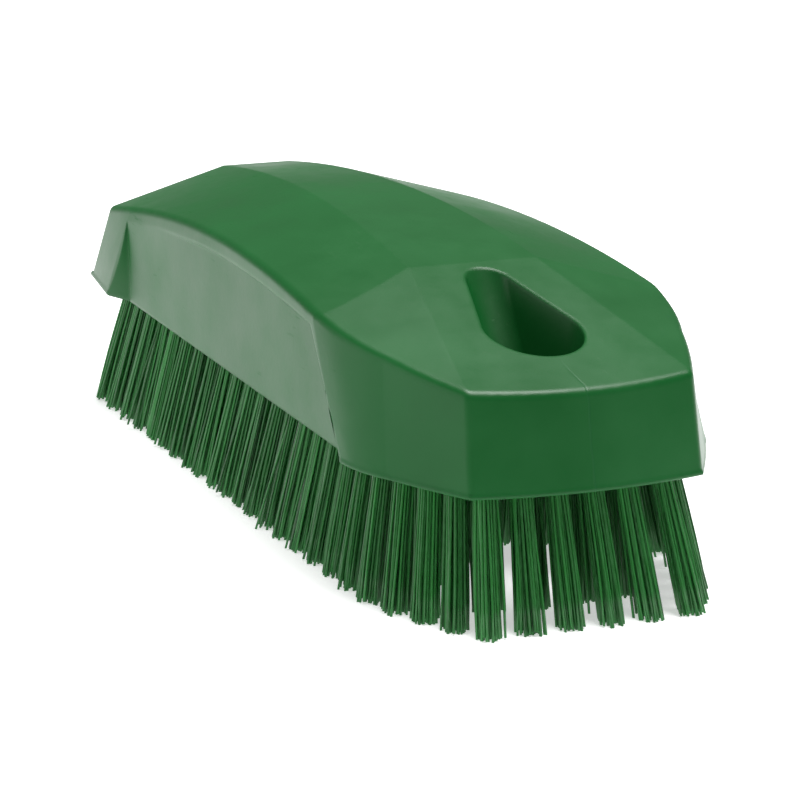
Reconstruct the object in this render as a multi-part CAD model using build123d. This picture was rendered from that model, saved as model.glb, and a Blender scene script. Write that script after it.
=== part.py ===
from build123d import *
import math
import os

# Hand and nail scrubbing brush: one moulded polypropylene block, bristle tufts in blind holes,
# and one flat steel anchor driven into each hole over the fold of its tuft.
# Millimetres, +Z up, hanging hole towards +X, bristle tips on z = 0, origin in the middle below.

# ---- driving dimensions -------------------------------------------------------------------
BRISTLE_FREE = 16.75         # bristle length below the block
LIP_HEIGHT = 0.65            # flared lip round the underside, up to the mould's parting line
LIP_FLARE = 0.3
PARTING = BRISTLE_FREE + LIP_HEIGHT
CROWN_HEIGHT = 21.1          # from the parting line to the highest point of the back
UPPER = PARTING + 26.0       # a level above the whole block, where trimming solids end

# Plan of the block: (x, half width) of its corners at the parting line
NOSE_CORNER = (54.0, 16.3)
NOSE_BULGE = 1.8             # how far the hanging end bows out between its corners
TAPER_REAR = (42.8, 22.8)    # end of the straight part of the tapered side
SHOULDER = (33.4, 25.5)      # where the tapered side meets the long side
TAIL_SIDE = (-49.7, 25.3)
TAIL_CORNER = (-60.7, 23.6)
TAIL_BULGE = 0.3

# The same corners higher up, as (x, half width, height above the parting line)
NOSE_CORNER_TOP = (50.9, 15.9, 12.3)
TAPER_TOP = (37.4, 21.4, 14.3)
SHOULDER_TOP = (22.4, 24.8, 16.5)
TAIL_SIDE_TOP = (-48.2, 22.8, 11.4)
TAIL_CORNER_TOP = (-57.3, 22.4, 10.5)

# Back of the block: a flat centre strip between two ridges, and a sloping strip on each side
RIDGE_RADIUS = 231.0
RIDGE_APEX_X = -7.2
RIDGE_HALF_REAR = 5.4        # half width between the ridges at REAR_X
RIDGE_HALF_FRONT = 9.4       # and at FRONT_X
EDGE_RADIUS = 250.0
EDGE_APEX_X = 0.2
EDGE_APEX_HEIGHT = 17.2
EDGE_HALF_REAR = 22.5
EDGE_HALF_FRONT = 24.8
REAR_X = -52.0
FRONT_X = 19.0
STATIONS = (-66.0, -52.0, -36.0, -20.0, -4.0, 12.0, 28.0, 44.0, 64.0)

# Sloping facets of the hanging end, as (x, half width, height)
FACET_RIDGE = (18.8, 9.4, 19.6)
FACET_SIDE = (22.4, 24.8, 16.5)
FACET_NOSE = (50.9, 15.9, 12.3)

# Finger recess along each long side
RECESS_HALF = 23.4           # half width between the recess floors at the parting line
RECESS_LEAN = 0.04           # how far each floor leans in, per millimetre of height
RECESS_RIM = 2.4             # band left between the recess and the top edge
RECESS_NOSE = ((35.1, -1.0), (22.3, 14.1))   # (x, height) up its front wall
RECESS_TAIL = ((-45.4, -1.0), (-48.3, 10.6))
RECESS_ROOF = (6.0, -14.0, -34.0)
RECESS_TAIL_SPREAD = 2.1     # how far the tail wall runs back, per millimetre outwards

# Hanging hole, a teardrop that narrows downwards: (centre x, radius) of its two round ends
HOLE_TOP = ((23.4, 3.2), (36.4, 7.4))
HOLE_BOTTOM = ((38.9, 2.9), (40.0, 3.6))
HOLE_LEVELS = (-1.0, 19.2)   # heights of HOLE_BOTTOM and HOLE_TOP

# Tufts, their holes and their anchors
TUFT_HOLE_RADIUS = 1.72
TUFT_HOLE_DEPTH = 6.5
TUFT_ROOT_RADIUS = 1.65
TUFT_SPREAD = 0.016          # growth of the radius per millimetre towards the tip
ANCHOR_SIZE = (3.4, 0.4, 1.5)
ANCHOR_TOP_GAP = 0.5         # between an anchor and the bottom of its hole
HOLE_WALL = 0.8              # least wall between a tuft hole and the hanging hole
TUFT_WALL = 0.45             # least wall between two tuft holes
PITCH = 4.643                # between tufts along the long rows
ROW_GAP = 4.84               # between the long rows
FIELD_Y = -0.95              # the whole tuft field sits a little off the block's centre line
SIDE_ROW = 4                 # rows from the middle row to a side row
SIDE_START_X = -51.14
SIDE_COUNT = 20
FRONT_ROW_X = 51.9
FRONT_PITCH = 4.96
FRONT_COUNT = 6
SECOND_ROW_X = 46.1
SECOND_OFFSETS = (-9.0, -3.2, 3.2, 9.0)
REAR_ROW_X = -55.6
INNER_START_X = -50.8
INNER_END_X = 42.5
SHOULDER_COUNT = 3
SHOULDER_BOW = 1.1           # how far the short rows along the tapered sides bow outwards
SHOULDER_EASE = 0.11         # and how much they crowd towards the front row

# How the tufts splay, as travel along x or y per millimetre of length
SIDE_SPLAY = 0.213           # outwards, at the side rows
FRONT_SPLAY = 0.394          # forwards, at the front row
SECOND_SPLAY = 0.22
REAR_SPLAY = 0.17            # backwards, at the rear row
SPLAY_START_X = 5.0          # side tufts lean forwards from here on
NOSE_FADE = 0.2              # share of the outward splay that is lost by the front row

# Edge radii: outline of the block, its underside, and the rims of the hanging hole and the recesses
SOFT_EDGE = 1.2
BASE_EDGE = 0.25
RIM_EDGE = 0.3
RECESS_EDGE = 0.4


def at_height(base, top, level):
    """Carry a corner of the plan straight on, through its two known points, to a level."""
    share = level / top[2]
    x = base[0] + (top[0] - base[0]) * share
    y = base[1] + (top[1] - base[1]) * share
    return (x, y)


def bowed(a, b, sagitta, level):
    """An arc from a to b, bowed out to the right of that direction by the sagitta."""
    mid_x = (a[0] + b[0]) / 2
    mid_y = (a[1] + b[1]) / 2
    length = math.hypot(b[0] - a[0], b[1] - a[1])
    out_x = (b[1] - a[1]) / length * sagitta
    out_y = -(b[0] - a[0]) / length * sagitta
    return ThreePointArc((a[0], a[1], level), (mid_x + out_x, mid_y + out_y, level), (b[0], b[1], level))


def mirrored(point):
    return (point[0], -point[1])


def plan_wire(level, nose, taper, shoulder, side, corner, bows):
    """The outline of the block at one level, run anticlockwise."""
    z = PARTING + level
    edges = [
        bowed(mirrored(nose), nose, bows[0], z),
        bowed(nose, taper, bows[1], z),
        bowed(taper, shoulder, bows[2], z),
        Line((*shoulder, z), (*side, z)),
        Line((*side, z), (*corner, z)),
        bowed(corner, mirrored(corner), bows[3], z),
        Line((*mirrored(corner), z), (*mirrored(side), z)),
        Line((*mirrored(side), z), (*mirrored(shoulder), z)),
        bowed(mirrored(shoulder), mirrored(taper), bows[2], z),
        bowed(mirrored(taper), mirrored(nose), bows[1], z),
    ]
    return Wire(edges)


def parting_outline(level, grow):
    """The outline at the parting line, grown all round and placed at a level."""
    corners = []
    for x, y in (NOSE_CORNER, TAPER_REAR, SHOULDER, TAIL_SIDE, TAIL_CORNER):
        corners.append((x + math.copysign(grow, x) * abs(x) / NOSE_CORNER[0], y + grow))
    return plan_wire(level, *corners, (NOSE_BULGE, 0.15, 0.75, TAIL_BULGE))


def lip():
    return Solid.make_loft([parting_outline(-LIP_HEIGHT, LIP_FLARE), parting_outline(0, 0)], ruled=True)


def drafted_prism():
    level = UPPER - PARTING
    low = parting_outline(0, 0)
    high = plan_wire(
        level,
        at_height(NOSE_CORNER, NOSE_CORNER_TOP, level),
        at_height(TAPER_REAR, TAPER_TOP, level),
        at_height(SHOULDER, SHOULDER_TOP, level),
        at_height(TAIL_SIDE, TAIL_SIDE_TOP, level),
        at_height(TAIL_CORNER, TAIL_CORNER_TOP, level),
        (NOSE_BULGE, 0.4, 0.6, TAIL_BULGE),
    )
    return Solid.make_loft([low, high], ruled=True)


def blend(x, rear, front):
    return rear + (front - rear) * (x - REAR_X) / (FRONT_X - REAR_X)


def arc_height(x, apex_x, apex, radius):
    return apex - radius + math.sqrt(radius ** 2 - (x - apex_x) ** 2)


def edge_height(x):
    return arc_height(x, EDGE_APEX_X, EDGE_APEX_HEIGHT, EDGE_RADIUS)


def crown_section(x):
    """Half-height section of the back at x, with its side strips carried on past the block."""
    ridge_y = blend(x, RIDGE_HALF_REAR, RIDGE_HALF_FRONT)
    ridge_z = arc_height(x, RIDGE_APEX_X, CROWN_HEIGHT, RIDGE_RADIUS)
    edge_y = blend(x, EDGE_HALF_REAR, EDGE_HALF_FRONT)
    slope = (ridge_z - edge_height(x)) / (edge_y - ridge_y)
    out_y = 32.0
    out_z = ridge_z - slope * (out_y - ridge_y)
    corners = [(-out_y, -5), (out_y, -5), (out_y, out_z)]
    corners += [(ridge_y, ridge_z), (-ridge_y, ridge_z), (-out_y, out_z)]
    return Wire([
        Line((x, a[0], PARTING + a[1]), (x, b[0], PARTING + b[1]))
        for a, b in zip(corners, corners[1:] + corners[:1])
    ])


def crown():
    return Solid.make_loft([crown_section(x) for x in STATIONS])


def facet_plane(a, b, c):
    """The plane through three points above the underside, facing up."""
    points = [Vector(p[0], p[1], PARTING + p[2]) for p in (a, b, c)]
    normal = (points[1] - points[0]).cross(points[2] - points[0]).normalized()
    if normal.Z < 0:
        normal = normal * -1
    return Plane(origin=points[0], z_dir=normal)


def flipped(point):
    return (point[0], -point[1], point[2])


def recess_profile(side, depth):
    """Outline of a finger recess on a plane that leans in with the recess floor."""
    def place(x, height):
        y = RECESS_HALF + depth - RECESS_LEAN * height
        return Vector(x, side * y, PARTING + height)

    back = RECESS_TAIL_SPREAD * depth
    nose_low = place(*RECESS_NOSE[0])
    nose_top = place(*RECESS_NOSE[1])
    tail_top = place(*RECESS_TAIL[1])
    tail_low = place(RECESS_TAIL[0][0] - back, RECESS_TAIL[0][1])
    roof = [place(x, edge_height(x) - RECESS_RIM) for x in RECESS_ROOF]
    return Wire([
        Line(nose_low, nose_top),
        Spline(nose_top, *roof, tail_top),
        Line(tail_top, tail_low),
        Line(tail_low, nose_low),
    ])


def recess_cutter(side):
    """Solid that takes the finger recess out of one long side; side is 1 or -1."""
    return Solid.make_loft([recess_profile(side, 0.0), recess_profile(side, 8.0)], ruled=True)


def teardrop(small, large, level):
    """Outline round two circles on the centre line, narrow end first."""
    (x0, r0), (x1, r1) = small, large
    tilt = math.asin((r1 - r0) / (x1 - x0))
    sin_t, cos_t = math.sin(tilt), math.cos(tilt)
    start = (x0 - r0 * sin_t, r0 * cos_t)
    end = (x1 - r1 * sin_t, r1 * cos_t)
    z = PARTING + level
    return Wire([
        ThreePointArc((start[0], start[1], z), (x0 - r0, 0, z), (start[0], -start[1], z)),
        Line((start[0], -start[1], z), (end[0], -end[1], z)),
        ThreePointArc((end[0], -end[1], z), (x1 + r1, 0, z), (end[0], end[1], z)),
        Line((end[0], end[1], z), (start[0], start[1], z)),
    ])


def carried(low, high, level):
    """One round end of the hole at a level, on the straight line through its two known sizes."""
    share = (level - HOLE_LEVELS[0]) / (HOLE_LEVELS[1] - HOLE_LEVELS[0])
    return tuple(a + (b - a) * share for a, b in zip(low, high))


def hole_cutter():
    wires = []
    for level in (HOLE_LEVELS[0], 23.0):
        small = carried(HOLE_BOTTOM[0], HOLE_TOP[0], level)
        large = carried(HOLE_BOTTOM[1], HOLE_TOP[1], level)
        wires.append(teardrop(small, large, level))
    return Solid.make_loft(wires, ruled=True)


def block_body():
    body = drafted_prism() & crown()
    facets = [
        facet_plane(FACET_RIDGE, flipped(FACET_RIDGE), FACET_NOSE),
        facet_plane(FACET_RIDGE, FACET_SIDE, FACET_NOSE),
        facet_plane(flipped(FACET_RIDGE), flipped(FACET_SIDE), flipped(FACET_NOSE)),
    ]
    for plane in facets:
        body = split(body, bisect_by=plane, keep=Keep.BOTTOM)
    return body


def rounded_body():
    """The block with its outline edges rounded; the creases of its back stay crisp."""
    body = block_body()
    walls = body.faces().filter_by(lambda f: abs(f.normal_at(f.center()).Z) < 0.6)
    tops = body.faces().filter_by(lambda f: f.normal_at(f.center()).Z > 0.6)
    rim = set(walls.edges()) & set(tops.edges())
    ends = [e for e in walls.edges() if abs((e @ 0.5).X) > 50 and e not in rim]
    corners = [e for e in ends if not below_level(e, PARTING)]
    body = body.fillet(SOFT_EDGE, list(rim) + list(dict.fromkeys(corners)))
    body = body + lip()
    return body.fillet(BASE_EDGE, [e for e in body.edges() if below_level(e, BRISTLE_FREE)])


def below_level(edge, level):
    return max((edge @ t).Z for t in (0, 0.5, 1)) < level + 0.01


def smooth(share):
    share = min(max(share, 0.0), 1.0)
    return share * share * (3 - 2 * share)


def clear_of_hole(x, y):
    """Whether a tuft hole at x, y leaves a wall to the hanging hole over its whole depth."""
    small = carried(HOLE_BOTTOM[0], HOLE_TOP[0], TUFT_HOLE_DEPTH)
    large = carried(HOLE_BOTTOM[1], HOLE_TOP[1], TUFT_HOLE_DEPTH)
    gaps = []
    for step in range(21):
        share = step / 20
        centre_x = small[0] + (large[0] - small[0]) * share
        radius = small[1] + (large[1] - small[1]) * share
        gaps.append(math.hypot(x - centre_x, y) - radius)
    return min(gaps) > TUFT_HOLE_RADIUS + HOLE_WALL


def clear_of_tufts(site, others):
    """Whether a tuft's hole leaves a wall to the holes of the others, at its mouth and its bottom."""
    for other in others:
        for depth in (0.0, TUFT_HOLE_DEPTH):
            apart = [site[i] - other[i] - depth * (site[i + 2] - other[i + 2]) for i in (0, 1)]
            if math.hypot(*apart) < 2 * TUFT_HOLE_RADIUS + TUFT_WALL:
                return False
    return True


def row_y(number):
    """Place across the block of a long row, counted from the middle row."""
    return FIELD_Y + ROW_GAP * number


def outward_splay(y):
    return SIDE_SPLAY * (y - FIELD_Y) / (ROW_GAP * SIDE_ROW)


def side_row(side):
    """A side row; its tufts lean forwards more and more towards the front."""
    y = row_y(side * SIDE_ROW)
    sites = []
    for i in range(SIDE_COUNT):
        x = SIDE_START_X + PITCH * i
        share = max(x - SPLAY_START_X, 0.0) / (FRONT_ROW_X - SPLAY_START_X)
        forward = FRONT_SPLAY * share ** 1.5 - REAR_SPLAY / 2 * smooth((-30 - x) / 20)
        sites.append((x, y, forward, outward_splay(y) * (1 - NOSE_FADE * share ** 2)))
    return sites


def front_row():
    half = (FRONT_COUNT - 1) / 2
    ys = [FIELD_Y + FRONT_PITCH * (i - half) for i in range(FRONT_COUNT)]
    return [(FRONT_ROW_X, y, FRONT_SPLAY, outward_splay(y) * (1 - NOSE_FADE)) for y in ys]


def shoulder_row(side):
    """The short row along a tapered side, from the last side tuft to the front row."""
    first = side_row(side)[-1]
    last = front_row()[-1] if side > 0 else front_row()[0]
    sites = []
    for i in range(SHOULDER_COUNT):
        share = (i + 1) / (SHOULDER_COUNT + 1)
        share += SHOULDER_EASE * share * (1 - share)
        x, y, forward, outward = (a + (b - a) * share for a, b in zip(first, last))
        bow = side * SHOULDER_BOW * 4 * share * (1 - share)
        sites.append((x, y + bow, forward, outward))
    return sites


def second_row():
    ys = [FIELD_Y + offset for offset in SECOND_OFFSETS]
    return [(SECOND_ROW_X, y, SECOND_SPLAY, outward_splay(y) / 2) for y in ys]


def rear_row():
    ys = [row_y(number) for number in range(-3, 4)]
    return [(REAR_ROW_X, y, -REAR_SPLAY, outward_splay(y)) for y in ys]


def inner_row(number):
    """One long inner row, nearly upright; every second row is staggered by half a pitch."""
    y = row_y(number)
    start = INNER_START_X + (PITCH / 2 if number % 2 else 0.0)
    count = int((INNER_END_X - start) / PITCH) + 1
    xs = [start + PITCH * i for i in range(count)]
    return [(x, y, 0.0006 * x, outward_splay(y) / 4) for x in xs if clear_of_hole(x, y)]


def tuft_rows():
    """Every tuft by row, as (x, y) on the underside and its travel along x and y per millimetre down."""
    rows = {
        "left_side": side_row(-1),
        "right_side": side_row(1),
        "left_shoulder": shoulder_row(-1),
        "right_shoulder": shoulder_row(1),
        "front": front_row(),
        "second": second_row(),
        "rear": rear_row(),
    }
    outer = [site for row in rows.values() for site in row]
    for number in range(-SIDE_ROW + 1, SIDE_ROW):
        side = "left" if number < 0 else "right"
        name = f"{side}_{abs(number)}" if number else "centre"
        rows[name] = [site for site in inner_row(number) if clear_of_tufts(site, outer)]
    return rows


def tuft_plane(site):
    """Plane on the underside at a tuft, facing up its hole."""
    x, y, forward, outward = site
    return Plane(origin=(x, y, BRISTLE_FREE), x_dir=(1, 0, forward), z_dir=(-forward, -outward, 1))


def tuft_hole(site):
    plane = tuft_plane(site)
    below = 1.5
    return Solid.make_cylinder(TUFT_HOLE_RADIUS, TUFT_HOLE_DEPTH + below, plane.offset(-below))


def anchor_low():
    """Distance up a tuft hole to the lower edge of its anchor."""
    return TUFT_HOLE_DEPTH - ANCHOR_TOP_GAP - ANCHOR_SIZE[2]


def tuft(site):
    """One tuft as a closed cone, from its anchor to the trimmed tips on z = 0."""
    below = BRISTLE_FREE * 1.15
    height = below + anchor_low()
    tip_radius = TUFT_ROOT_RADIUS + TUFT_SPREAD * below
    cone = Solid.make_cone(tip_radius, TUFT_ROOT_RADIUS, height, tuft_plane(site).offset(-below))
    return split(cone, bisect_by=Plane.XY, keep=Keep.TOP)


def anchor(site):
    width, thickness, height = ANCHOR_SIZE
    plane = tuft_plane(site).offset(anchor_low())
    return plane * Box(width, thickness, height, align=(Align.CENTER, Align.CENTER, Align.MIN))


def hole_rim(block):
    """Edges of the hanging hole's upper mouth."""
    nose = HOLE_TOP[1][0] + HOLE_TOP[1][1]
    high = BRISTLE_FREE + CROWN_HEIGHT / 2
    near = [e for e in block.edges() if FRONT_X < e.center().X < nose]
    round_hole = [e for e in near if abs(e.center().Y) < HOLE_TOP[1][1]]
    return [e for e in round_hole if min((e @ 0).Z, (e @ 1).Z) > high]


def recess_rim(block):
    """The long upper edge and the front edge of each finger recess, where they meet the block's side."""
    low, high = BRISTLE_FREE + 2, BRISTLE_FREE + RECESS_NOSE[1][1] + 1
    outer = [e for e in block.edges() if e.length > 12 and abs(e.center().Y) > RECESS_HALF]
    return [e for e in outer if low < min((e @ 0).Z, (e @ 1).Z) and max((e @ 0).Z, (e @ 1).Z) < high]


def handle_block(rows):
    block = rounded_body()
    block = block - recess_cutter(1) - recess_cutter(-1)
    block = block - hole_cutter()
    block = block.fillet(RIM_EDGE, hole_rim(block))
    block = block.fillet(RECESS_EDGE, recess_rim(block))
    holes = [tuft_hole(site) for row in rows.values() for site in row]
    return block - holes


def main():
    os.makedirs("parts", exist_ok=True)
    rows = tuft_rows()
    export_step(handle_block(rows), "parts/handle_block.step")
    for name, row in rows.items():
        export_step(Compound([tuft(site) for site in row]), f"parts/tufts_{name}.step")
        export_step(Compound([anchor(site) for site in row]), f"parts/anchors_{name}.step")


if __name__ == "__main__":
    main()
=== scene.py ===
"""Hand scrubbing brush: moulded block, flared filament tufts and their hidden anchors.

Every length is in metres, in the row frame: +X to the end with the hanging hole, +Z up,
filament tips on z = 0.
"""
import math
import random

import bmesh
import bpy
import numpy as np
from mathutils import Matrix, Vector


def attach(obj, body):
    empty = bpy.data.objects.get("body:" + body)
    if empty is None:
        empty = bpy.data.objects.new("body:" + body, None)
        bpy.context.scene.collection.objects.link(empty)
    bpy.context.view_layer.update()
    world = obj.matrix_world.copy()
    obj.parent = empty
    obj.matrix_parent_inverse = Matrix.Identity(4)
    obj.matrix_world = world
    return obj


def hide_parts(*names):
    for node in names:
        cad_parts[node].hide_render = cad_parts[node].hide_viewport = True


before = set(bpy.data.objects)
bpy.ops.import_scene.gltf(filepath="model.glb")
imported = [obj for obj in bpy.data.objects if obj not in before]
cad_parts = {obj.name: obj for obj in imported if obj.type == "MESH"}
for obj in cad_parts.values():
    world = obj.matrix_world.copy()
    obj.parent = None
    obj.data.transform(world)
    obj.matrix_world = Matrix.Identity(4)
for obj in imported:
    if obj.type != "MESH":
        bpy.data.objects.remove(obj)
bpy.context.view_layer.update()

MM = 0.001
BODY = "root"

# ---- filaments ----------------------------------------------------------------------------
FILAMENTS_PER_TUFT = 66
FILAMENT_RADIUS = 0.175 * MM
FILAMENT_SIDES = 6
FILAMENT_STEPS = 6            # lengths that each filament is bent over
ROOT_PACK = 0.93              # share of the tuft's own radius that filament centres fill
TIP_PACK = 0.97
BEND = 0.16 * MM              # sideways bow of an ordinary filament
TIP_SCATTER = 0.20 * MM       # sideways scatter of its tip
STRAY_SHARE = 0.045
STRAY_SCATTER = 0.95 * MM
SHORT_TIP = 0.75 * MM         # how far above the tip plane an ordinary tip may end
SHORT_STRAY = 1.9 * MM
GOLDEN_ANGLE = math.pi * (3 - math.sqrt(5))

# ---- block ---------------------------------------------------------------------------------
KNIT_START = 44 * MM          # the knit line fades in ahead of the hole, between these two x
KNIT_FULL = 52 * MM
EDGE_SOFTNESS = 0.7 * MM      # shading radius on the creases that the CAD leaves crisp

# ---- room ----------------------------------------------------------------------------------
WORLD_STRENGTH = 0.20
FLOOR_SIZE = 6.0
FLOOR_GLOW = 0.55             # the floor's own light, which keeps the ground white
TOP_POWER = 12.5
LEFT_POWER = 1.2

# ---- camera -------------------------------------------------------------------------------
CAMERA_PLACE = Vector((0.48131, -0.22750, 0.17279))
CAMERA_FORWARD = Vector((-0.8666, 0.4076, -0.2880))
CAMERA_ROLL = math.radians(2.05)
CAMERA_LENS = 181.9
CAMERA_SENSOR = 36.0


# ---- node helpers -------------------------------------------------------------------------
class Shader:
    """A material with one Principled shader, and short calls to add and link its nodes."""

    def __init__(self, name):
        self.material = bpy.data.materials.new(name)
        self.material.use_nodes = True
        self.tree = self.material.node_tree
        self.shader = self.tree.nodes["Principled BSDF"]

    def add(self, kind, settings=None, **inputs):
        node = self.tree.nodes.new("ShaderNode" + kind)
        for name, value in (settings or {}).items():
            setattr(node, name, value)
        for name, value in inputs.items():
            self.feed(node, name.replace("_", " "), value)
        return node

    def feed(self, node, socket, value):
        target = node.inputs[socket]
        if isinstance(value, bpy.types.NodeSocket):
            self.tree.links.new(value, target)
        else:
            target.default_value = value

    def math(self, operation, *values, clamp=False):
        node = self.add("Math", {"operation": operation, "use_clamp": clamp})
        for i, value in enumerate(values):
            self.feed(node, i, value)
        return node.outputs[0]

    def mix(self, factor, a, b, blend="MIX"):
        node = self.add("MixRGB", {"blend_type": blend})
        for i, value in enumerate((factor, a, b)):
            self.feed(node, i, value)
        return node.outputs[0]

    def ramp(self, value, low, high, start=0.0, end=1.0):
        """value carried from the range low..high to start..end, and held there."""
        node = self.add("MapRange", {"clamp": True})
        for i, v in enumerate((value, low, high, start, end)):
            self.feed(node, i, v)
        return node.outputs[0]

    def noise(self, vector, scale, detail=3.0, roughness=0.55):
        node = self.add("TexNoise", Vector=vector, Scale=scale, Detail=detail, Roughness=roughness)
        return node.outputs["Fac"]


def green(r, g, b):
    return (r, g, b, 1.0)


def moulded_plastic():
    s = Shader("moulded_plastic")
    place = s.add("TexCoord").outputs["Object"]
    xyz = s.add("SeparateXYZ", Vector=place).outputs

    # Colour: faint flow clouds, sparse pigment specks, and the knit line ahead of the hole
    cloud = s.noise(place, 45.0, 4.0)
    colour = s.mix(s.ramp(cloud, 0.3, 0.7), green(0.003, 0.095, 0.015), green(0.005, 0.118, 0.021))
    speck = s.add("TexVoronoi", {"feature": "F1"}, Vector=place, Scale=520.0)
    near = s.math("LESS_THAN", speck.outputs["Distance"], 0.07)
    pick = s.add("SeparateColor", Color=speck.outputs["Color"]).outputs[0]
    chosen = s.math("GREATER_THAN", pick, 0.93)
    colour = s.mix(s.math("MULTIPLY", near, chosen), colour, green(0.008, 0.09, 0.028))
    wander = s.math("MULTIPLY", s.math("SUBTRACT", s.noise(place, 120.0), 0.5), 1.2 * MM)
    off_line = s.math("ABSOLUTE", s.math("ADD", xyz[1], wander))
    ahead_of_hole = s.ramp(xyz[0], KNIT_START, KNIT_FULL)
    knit = s.math("MULTIPLY", s.ramp(off_line, 0.05 * MM, 0.22 * MM, 1.0, 0.0), ahead_of_hole)
    colour = s.mix(s.math("MULTIPLY", knit, 0.3), colour, green(0.007, 0.10, 0.028))

    # Finish: an even mould grain with rubbed patches and fine scratches
    rubbed = s.noise(place, 90.0, 6.0, 0.65)
    stretched = s.add("Mapping", {"vector_type": "TEXTURE"}, Vector=place, Scale=(9.0, 1.0, 1.0))
    scratch = s.noise(stretched.outputs[0], 1900.0, 2.0)
    scuff = s.math("MULTIPLY", s.ramp(scratch, 0.66, 0.74), s.ramp(rubbed, 0.5, 0.62))
    roughness = s.ramp(rubbed, 0.3, 0.7, 0.30, 0.42)
    roughness = s.math("ADD", roughness, s.math("MULTIPLY", scuff, 0.18))
    grain = s.math("MULTIPLY", s.noise(place, 1500.0, 3.0), 0.5)
    ripple = s.math("MULTIPLY", s.noise(place, 110.0, 2.0), 1.2)
    height = s.math("SUBTRACT", s.math("ADD", grain, ripple), s.math("MULTIPLY", scuff, 0.5))
    height = s.math("SUBTRACT", height, s.math("MULTIPLY", knit, 1.4))
    soft = s.add("Bevel", {"samples": 6}, Radius=EDGE_SOFTNESS)
    bump = s.add("Bump", Strength=0.35, Distance=0.05 * MM, Height=height, Normal=soft.outputs[0])

    s.feed(s.shader, "Base Color", colour)
    s.feed(s.shader, "Roughness", roughness)
    s.feed(s.shader, "Normal", bump.outputs[0])
    s.shader.inputs["IOR"].default_value = 1.5
    s.shader.inputs["Specular IOR Level"].default_value = 0.34
    return s.material


def filament_plastic():
    s = Shader("filament")
    place = s.add("TexCoord").outputs["Object"]
    height = s.add("SeparateXYZ", Vector=place).outputs[2]
    tone = s.add("Attribute", {"attribute_name": "tone"}).outputs["Fac"]
    colour = s.mix(tone, green(0.006, 0.080, 0.010), green(0.030, 0.26, 0.045))
    streak = s.noise(s.add("Mapping", Vector=place, Scale=(1.0, 1.0, 0.12)).outputs[0], 2600.0, 2.0)
    colour = s.mix(s.ramp(streak, 0.35, 0.75, 0.0, 0.35), colour, green(0.055, 0.26, 0.08))
    # Colour turns lighter towards the tips, over the lowest 1.2 mm above the tip plane
    tip_lightening = s.ramp(height, 0.0, 1.2 * MM, 0.35, 0.0)
    colour = s.mix(tip_lightening, colour, green(0.05, 0.25, 0.07))
    s.feed(s.shader, "Base Color", colour)
    s.feed(s.shader, "Roughness", s.ramp(streak, 0.3, 0.7, 0.28, 0.46))
    bump = s.add("Bump", Strength=0.3, Distance=0.02 * MM, Height=streak)
    s.feed(s.shader, "Normal", bump.outputs[0])
    s.shader.inputs["IOR"].default_value = 1.5
    return s.material


def anchor_steel():
    s = Shader("anchor_steel")
    place = s.add("TexCoord").outputs["Object"]
    drawn = s.noise(s.add("Mapping", Vector=place, Scale=(0.1, 1.0, 1.0)).outputs[0], 9000.0, 2.0)
    colour = s.mix(drawn, green(0.52, 0.52, 0.50), green(0.72, 0.72, 0.70))
    s.feed(s.shader, "Base Color", colour)
    s.feed(s.shader, "Roughness", s.ramp(drawn, 0.3, 0.7, 0.25, 0.4))
    s.shader.inputs["Metallic"].default_value = 1.0
    return s.material


def floor_paper():
    s = Shader("floor_paper")
    place = s.add("TexCoord").outputs["Object"]
    tint = s.mix(s.noise(place, 30.0), green(0.93, 0.93, 0.93), green(0.95, 0.95, 0.95))
    s.feed(s.shader, "Base Color", tint)
    s.feed(s.shader, "Emission Color", tint)
    s.shader.inputs["Emission Strength"].default_value = FLOOR_GLOW
    s.shader.inputs["Roughness"].default_value = 0.9
    return s.material


# ---- filaments from the CAD tufts ---------------------------------------------------------
def islands(bm):
    """The connected groups of faces, in the order of their first face."""
    bm.faces.ensure_lookup_table()
    seen = set()
    groups = []
    for first in bm.faces:
        if first.index in seen:
            continue
        seen.add(first.index)
        group = [first]
        for face in group:
            for edge in face.edges:
                for other in edge.link_faces:
                    if other.index not in seen:
                        seen.add(other.index)
                        group.append(other)
        groups.append(group)
    return groups


def cap(faces):
    """Centre and area of a flat end."""
    area = sum(f.calc_area() for f in faces)
    centre = sum((f.calc_center_median() * f.calc_area() for f in faces), Vector())
    return centre / area, area


def cad_tufts(node):
    """(root centre, root radius, tip centre, tip radius) of each tuft solid in a CAD node."""
    bm = bmesh.new()
    bm.from_mesh(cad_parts[node].data)
    bmesh.ops.remove_doubles(bm, verts=bm.verts, dist=0.001 * MM)
    bm.faces.index_update()
    bm.normal_update()
    found = []
    for group in islands(bm):
        root, root_area = cap([f for f in group if f.normal.z > 0.6])
        tip, tip_area = cap([f for f in group if f.normal.z < -0.6])
        found.append((root, math.sqrt(root_area / math.pi), tip, math.sqrt(tip_area / math.pi)))
    bm.free()
    return found


def filament_path(rng, tuft, number):
    """Points along one filament, from beside its anchor to its trimmed tip."""
    root, root_radius, tip, tip_radius = tuft
    spread = math.sqrt((number + 0.5) / FILAMENTS_PER_TUFT)
    angle = number * GOLDEN_ANGLE
    side = Vector((math.cos(angle), math.sin(angle), 0.0)) * spread
    stray = rng.random() < STRAY_SHARE
    scatter = STRAY_SCATTER if stray else TIP_SCATTER
    start = root + side * (root_radius * ROOT_PACK - FILAMENT_RADIUS)
    end = tip + side * (tip_radius * TIP_PACK - FILAMENT_RADIUS)
    end += Vector((rng.gauss(0, 1), rng.gauss(0, 1), 0.0)) * scatter
    bow = Vector((rng.gauss(0, 1), rng.gauss(0, 1), 0.0)) * BEND
    short = rng.random() ** 2 * (SHORT_STRAY if stray else SHORT_TIP)
    end += (start - end) * (short / (start.z - end.z))
    points = []
    for step in range(FILAMENT_STEPS + 1):
        share = step / FILAMENT_STEPS
        flare = share ** 1.25
        point = start.lerp(end, share)
        point += (side * (tip_radius - root_radius)) * (flare - share)
        points.append(point + bow * (math.sin(math.pi * share) * share))
    return points


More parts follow.
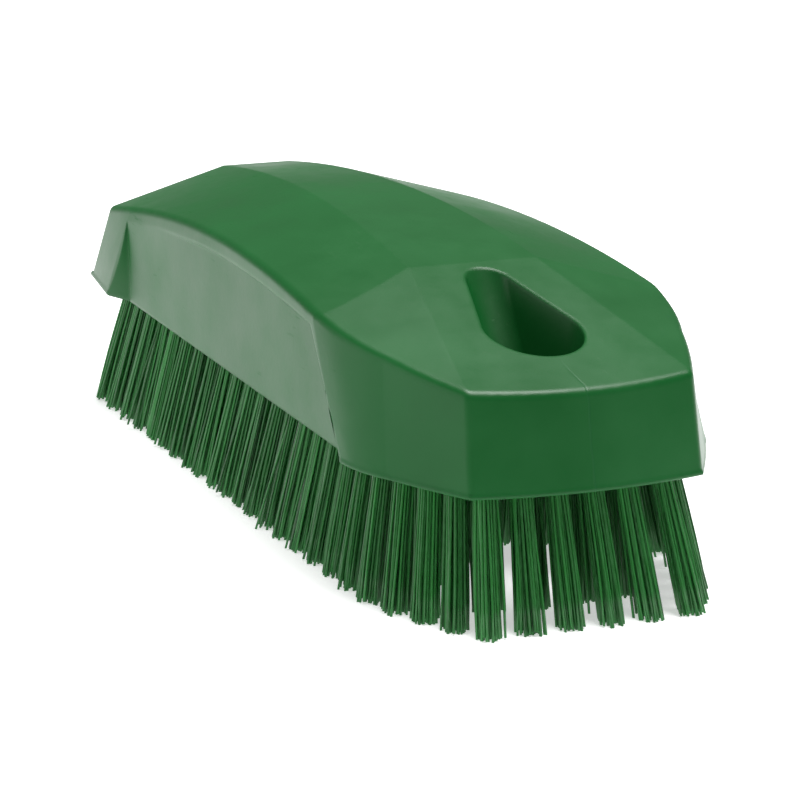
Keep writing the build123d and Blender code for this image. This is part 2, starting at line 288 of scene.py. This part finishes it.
def filament_mesh(name, tufts, rng):
    """One mesh of closed, six-sided filaments, with a tone for each filament."""
    ring = [
        (math.cos(2 * math.pi * i / FILAMENT_SIDES), math.sin(2 * math.pi * i / FILAMENT_SIDES))
        for i in range(FILAMENT_SIDES)
    ]
    verts, faces, tones = [], [], []
    for tuft in tufts:
        tuft_tone = rng.uniform(-0.12, 0.12)
        for number in range(FILAMENTS_PER_TUFT):
            base = len(verts)
            turn = rng.random()
            tone = min(max(rng.gauss(0.45, 0.24) + tuft_tone, 0.0), 1.0)
            radius = FILAMENT_RADIUS * rng.uniform(0.88, 1.08)
            cos_turn, sin_turn = math.cos(turn), math.sin(turn)
            for point in filament_path(rng, tuft, number):
                for x, y in ring:
                    dx = (x * cos_turn - y * sin_turn) * radius
                    dy = (x * sin_turn + y * cos_turn) * radius
                    verts.append((point.x + dx, point.y + dy, point.z))
            tones.extend([tone] * (len(verts) - base))
            for step in range(FILAMENT_STEPS):
                low = base + step * FILAMENT_SIDES
                for i in range(FILAMENT_SIDES):
                    j = (i + 1) % FILAMENT_SIDES
                    faces.append((low + i, low + FILAMENT_SIDES + i, low + FILAMENT_SIDES + j, low + j))
            last = base + FILAMENT_STEPS * FILAMENT_SIDES
            faces.append(tuple(base + i for i in range(FILAMENT_SIDES)))
            faces.append(tuple(last + i for i in reversed(range(FILAMENT_SIDES))))
    mesh = bpy.data.meshes.new(name)
    mesh.from_pydata(verts, [], faces)
    mesh.polygons.foreach_set("use_smooth", np.array([len(f) == 4 for f in faces]))
    attribute = mesh.attributes.new("tone", "FLOAT", "POINT")
    attribute.data.foreach_set("value", np.array(tones, np.float32))
    mesh.update()
    return mesh


def make_filaments(material):
    rng = random.Random(7)
    for node in sorted(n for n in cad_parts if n.startswith("tufts_")):
        name = node.replace("tufts", "filaments")
        piece = bpy.data.objects.new(name, filament_mesh(name, cad_tufts(node), rng))
        bpy.context.scene.collection.objects.link(piece)
        piece.data.materials.append(material)
        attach(piece, BODY)
        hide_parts(node)


def dress(node, material):
    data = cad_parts[node].data
    data.materials.clear()
    data.materials.append(material)


# ---- room ---------------------------------------------------------------------------------
def make_floor():
    bpy.ops.mesh.primitive_plane_add(size=FLOOR_SIZE)
    floor = bpy.context.object
    floor.name = "floor"
    floor.data.materials.append(floor_paper())


def area_light(name, place, size, power, target=(0.0, 0.0, 0.02), colour=(1.0, 1.0, 1.0)):
    light = bpy.data.lights.new(name, "AREA")
    light.shape = "RECTANGLE"
    light.size, light.size_y = size
    light.energy = power
    light.color = colour
    lamp = bpy.data.objects.new(name, light)
    lamp.location = place
    lamp.rotation_euler = (Vector(target) - Vector(place)).to_track_quat("-Z", "Y").to_euler()
    bpy.context.scene.collection.objects.link(lamp)


def make_lights():
    world = bpy.data.worlds.new("studio")
    bpy.context.scene.world = world
    world.use_nodes = True
    background = world.node_tree.nodes["Background"]
    background.inputs["Color"].default_value = (1.0, 1.0, 1.0, 1.0)
    background.inputs["Strength"].default_value = WORLD_STRENGTH
    area_light("top_light", (-0.12, 0.18, 0.9), (0.6, 0.6), TOP_POWER)
    area_light("left_light", (-0.25, -0.85, 0.30), (0.7, 0.5), LEFT_POWER)


def show_plain_colours():
    bpy.context.scene.view_settings.view_transform = "Standard"


def make_camera():
    data = bpy.data.cameras.new("camera")
    data.lens = CAMERA_LENS
    data.sensor_width = CAMERA_SENSOR
    data.clip_start = 0.01
    camera = bpy.data.objects.new("camera", data)
    level = CAMERA_FORWARD.to_track_quat("-Z", "Y").to_matrix().to_4x4()
    roll = Matrix.Rotation(CAMERA_ROLL, 4, "Z")
    camera.matrix_world = Matrix.Translation(CAMERA_PLACE) @ level @ roll
    bpy.context.scene.collection.objects.link(camera)
    bpy.context.scene.camera = camera


plastic = moulded_plastic()
steel = anchor_steel()
dress("handle_block", plastic)
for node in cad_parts:
    if node.startswith("anchors_"):
        dress(node, steel)
make_filaments(filament_plastic())
make_floor()
make_lights()
make_camera()
show_plain_colours()
